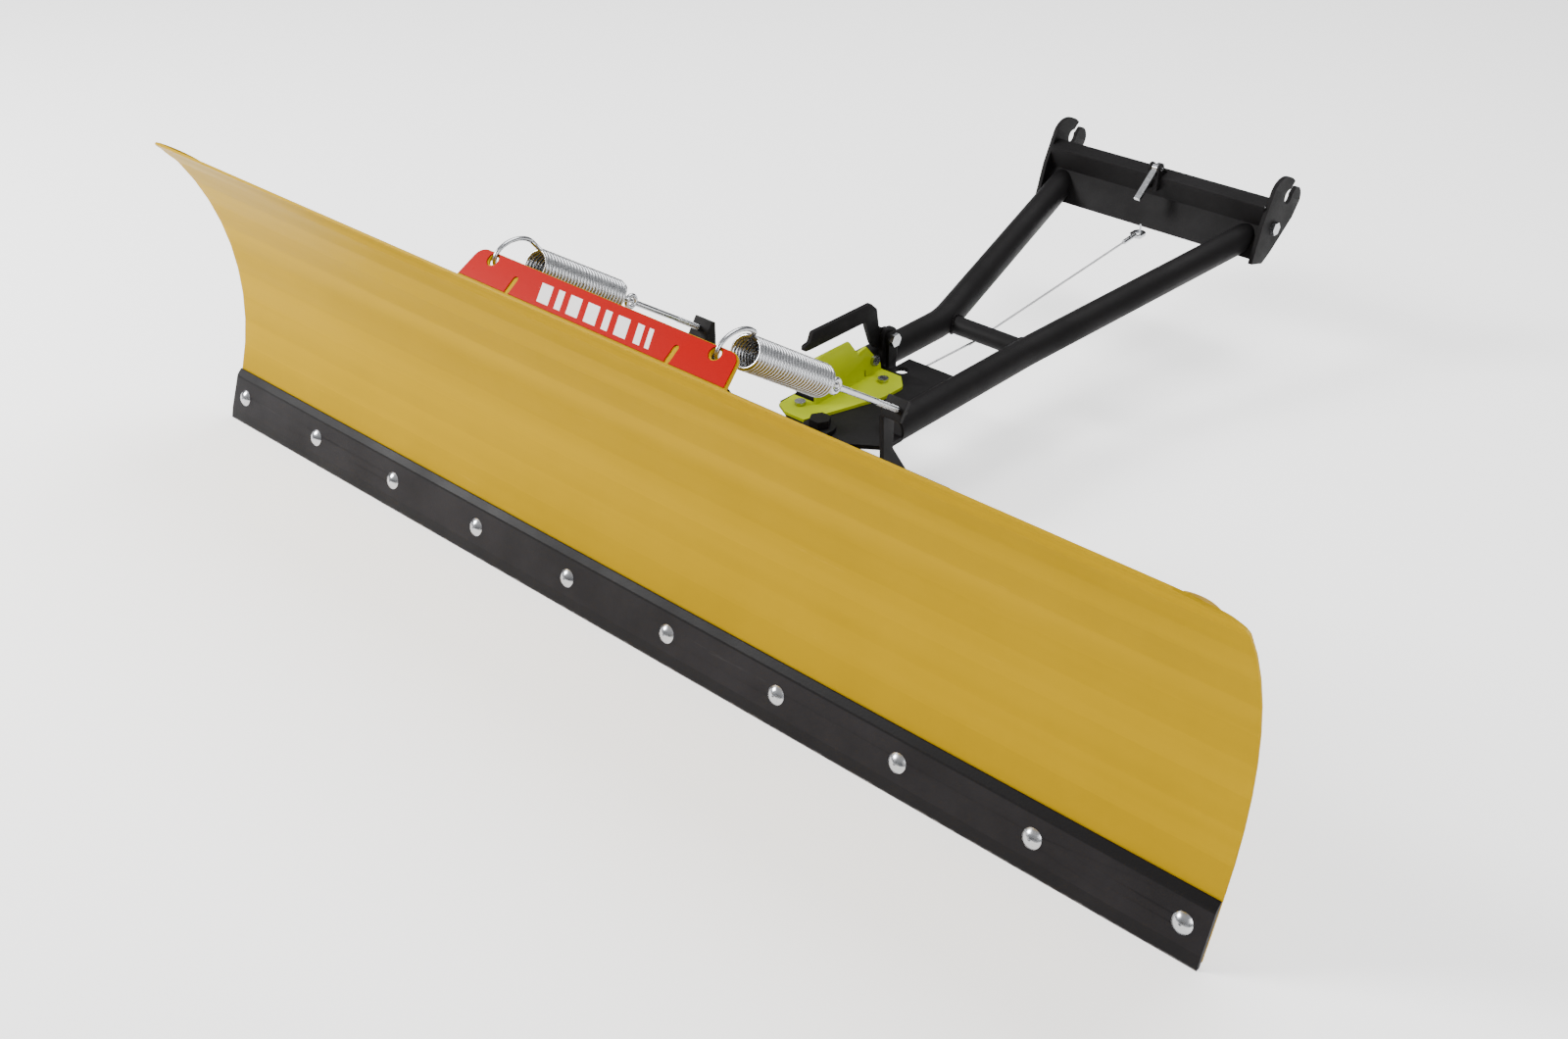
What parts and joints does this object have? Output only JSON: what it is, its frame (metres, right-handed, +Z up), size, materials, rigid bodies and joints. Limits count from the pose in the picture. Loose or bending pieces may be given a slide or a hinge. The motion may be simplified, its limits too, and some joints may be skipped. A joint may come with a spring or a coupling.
{
  "type": "snow plow blade",
  "caption": "ATV snow plow: rolled moldboard with bolted wear bar on a spring-trip hinge, swivelling beam with foot-released angle lock, and a tubular push frame with rear hooks.",
  "frame": {"origin": "middle of the cutting edge's flat bottom face, where it meets the ground", "axes": "+X along the cutting edge, to the right of someone who faces the blade's front, which is the driver's left; +Y from the blade back to the vehicle; +Z up. Left (-X) and right (+X) in node names are as seen from the front"},
  "size_m": [1.5, 1.2265, 0.4265],
  "materials": {
    "yellow_paint": "semi-gloss",
    "wear_steel": "satin",
    "black_paint": "textured satin",
    "zinc": "bright plated",
    "spring_steel": "bright plated",
    "red_paint": "gloss",
    "lime_paint": "gloss",
    "bush_plastic": "matte",
    "cable_steel": "stranded"
  },
  "bodies": {
    "push_frame": {"push_tube_left": "black_paint", "push_tube_right": "black_paint", "tube_plugs": "bush_plastic", "cross_tube": "black_paint", "crossbar": "black_paint", "hook_plate_left": "black_paint", "hook_plate_right": "black_paint", "hook_bolts": "zinc", "pivot_plate": "black_paint", "lock_bracket": "lime_paint", "lock_bracket_bolts": "zinc", "lever_lug": "black_paint", "plunger_guides": "black_paint", "plunger_spring": "spring_steel", "cable_peg": "zinc", "latch_ears": "black_paint", "latch_pin": "zinc"},
    "swivel": {"swivel_beam": "black_paint", "beam_caps": "black_paint", "trip_arm_left": "black_paint", "trip_arm_right": "black_paint", "trip_bushes": "bush_plastic", "lock_sector": "black_paint", "thrust_ring": "black_paint", "swivel_strap": "black_paint", "king_pin": "black_paint", "king_nut": "zinc", "spring_lug_left": "black_paint", "spring_lug_right": "black_paint", "eyebolt_left": "zinc", "eyebolt_right": "zinc", "eyebolt_nuts": "black_paint", "trip_spring_left": "spring_steel", "trip_spring_right": "spring_steel"},
    "blade": {"moldboard": "yellow_paint", "wear_bar": "wear_steel", "carriage_bolts": "zinc", "blade_nuts": "zinc", "end_rib_left": "yellow_paint", "end_rib_right": "yellow_paint", "hinge_rib_left_inner": "yellow_paint", "hinge_rib_left_outer": "yellow_paint", "hinge_rib_right_inner": "yellow_paint", "hinge_rib_right_outer": "yellow_paint", "upper_stiffener": "yellow_paint", "spring_bracket": "yellow_paint", "sign_plate": "red_paint", "bracket_gussets": "yellow_paint", "trip_pins": "zinc"},
    "foot_lever": {"foot_lever": "black_paint", "toe_crank": "black_paint", "lever_bolt": "zinc"},
    "lock_plunger": {"lock_plunger": "zinc", "cross_pin": "zinc", "cable_front_end": "zinc", "release_cable": "cable_steel", "cable_eye": "zinc"},
    "latch": {"latch_lever": "zinc"}
  },
  "joints": [
    {"name": "blade_angle", "type": "hinge", "parent": "push_frame", "child": "swivel", "pos_m": [0, 0.352, 0.1], "axis": [0, 0, 1], "range_deg": [-25, 25]},
    {"name": "blade_trip", "type": "hinge", "parent": "swivel", "child": "blade", "pos_m": [0, 0.057, 0.09], "axis": [1, 0, 0], "range_deg": [0, 30], "stiffness_Nm_per_rad": 760, "springref_deg": -11, "deforming": ["trip_spring_left", "trip_spring_right"]},
    {"name": "foot_lever_press", "type": "hinge", "parent": "push_frame", "child": "foot_lever", "pos_m": [-0.055, 0.543, 0.152], "axis": [1, 0, 0], "range_deg": [0, 11]},
    {"name": "plunger_slide", "type": "slide", "parent": "push_frame", "child": "lock_plunger", "axis": [0, 1, 0], "range_m": [0, 0.0112], "stiffness_N_per_m": 2000, "springref_m": -0.01, "deforming": ["plunger_spring"]},
    {"name": "latch_lift", "type": "hinge", "parent": "push_frame", "child": "latch", "pos_m": [0.003, 1.074, 0.244], "axis": [1, 0, 0], "range_deg": [0, 25], "stiffness_Nm_per_rad": 0.2, "springref_deg": -17.19}
  ],
  "couplings": [
    {"joint": "plunger_slide", "follows": "foot_lever_press", "m_per_rad": 0.057}
  ]
}
